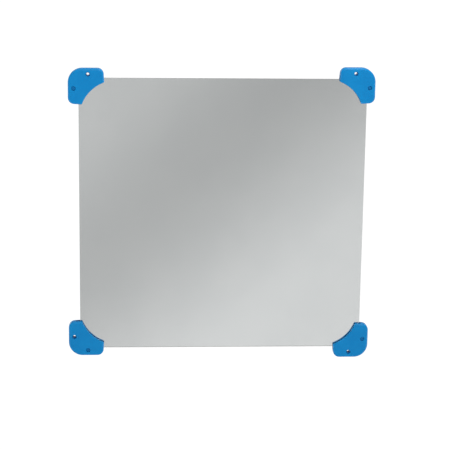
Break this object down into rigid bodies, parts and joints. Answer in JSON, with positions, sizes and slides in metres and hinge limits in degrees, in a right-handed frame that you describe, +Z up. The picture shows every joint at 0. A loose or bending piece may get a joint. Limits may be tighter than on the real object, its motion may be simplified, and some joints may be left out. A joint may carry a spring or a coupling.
{
  "type": "flat wall mirror",
  "caption": "Flat, nearly square acrylic wall mirror on a backing board, held at its corners by blue moulded brackets with wall screw holes.",
  "frame": {"origin": "on the wall plane, behind the middle of the mirror sheet", "axes": "+Z up, +Y into the wall, so the mirror faces -Y and +X is to the viewer's right"},
  "size_m": [0.6746, 0.02, 0.659],
  "materials": {
    "acrylic": "clear, polished",
    "reflecting_film": "mirror",
    "board": "hardboard, smooth face",
    "bracket_plastic": "satin moulded",
    "plate_plastic": "fine-textured moulded",
    "rivet_nylon": "satin nylon",
    "pad_foam": "closed-cell foam"
  },
  "bodies": {
    "mirror_panel": {"acrylic_sheet": "acrylic", "reflecting_film": "reflecting_film", "backing_board": "board"},
    "top_left_bracket": {"top_left_cover": "bracket_plastic", "top_left_back_plate": "plate_plastic", "top_left_rivet": "rivet_nylon", "top_left_pad": "pad_foam"},
    "top_right_bracket": {"top_right_cover": "bracket_plastic", "top_right_back_plate": "plate_plastic", "top_right_rivet": "rivet_nylon", "top_right_pad": "pad_foam"},
    "bottom_right_bracket": {"bottom_right_cover": "bracket_plastic", "bottom_right_back_plate": "plate_plastic", "bottom_right_rivet": "rivet_nylon", "bottom_right_pad": "pad_foam"},
    "bottom_left_bracket": {"bottom_left_cover": "bracket_plastic", "bottom_left_back_plate": "plate_plastic", "bottom_left_rivet": "rivet_nylon", "bottom_left_pad": "pad_foam"}
  },
  "joints": [
    {"name": "top_left_bracket_slide", "type": "slide", "parent": "mirror_panel", "child": "top_left_bracket", "axis": [-0.7071, 0, 0.7071], "range_m": [0, 0.05]},
    {"name": "top_right_bracket_slide", "type": "slide", "parent": "mirror_panel", "child": "top_right_bracket", "axis": [0.7071, 0, 0.7071], "range_m": [0, 0.05]},
    {"name": "bottom_right_bracket_slide", "type": "slide", "parent": "mirror_panel", "child": "bottom_right_bracket", "axis": [0.7071, 0, -0.7071], "range_m": [0, 0.05]},
    {"name": "bottom_left_bracket_slide", "type": "slide", "parent": "mirror_panel", "child": "bottom_left_bracket", "axis": [-0.7071, 0, -0.7071], "range_m": [0, 0.05]}
  ]
}
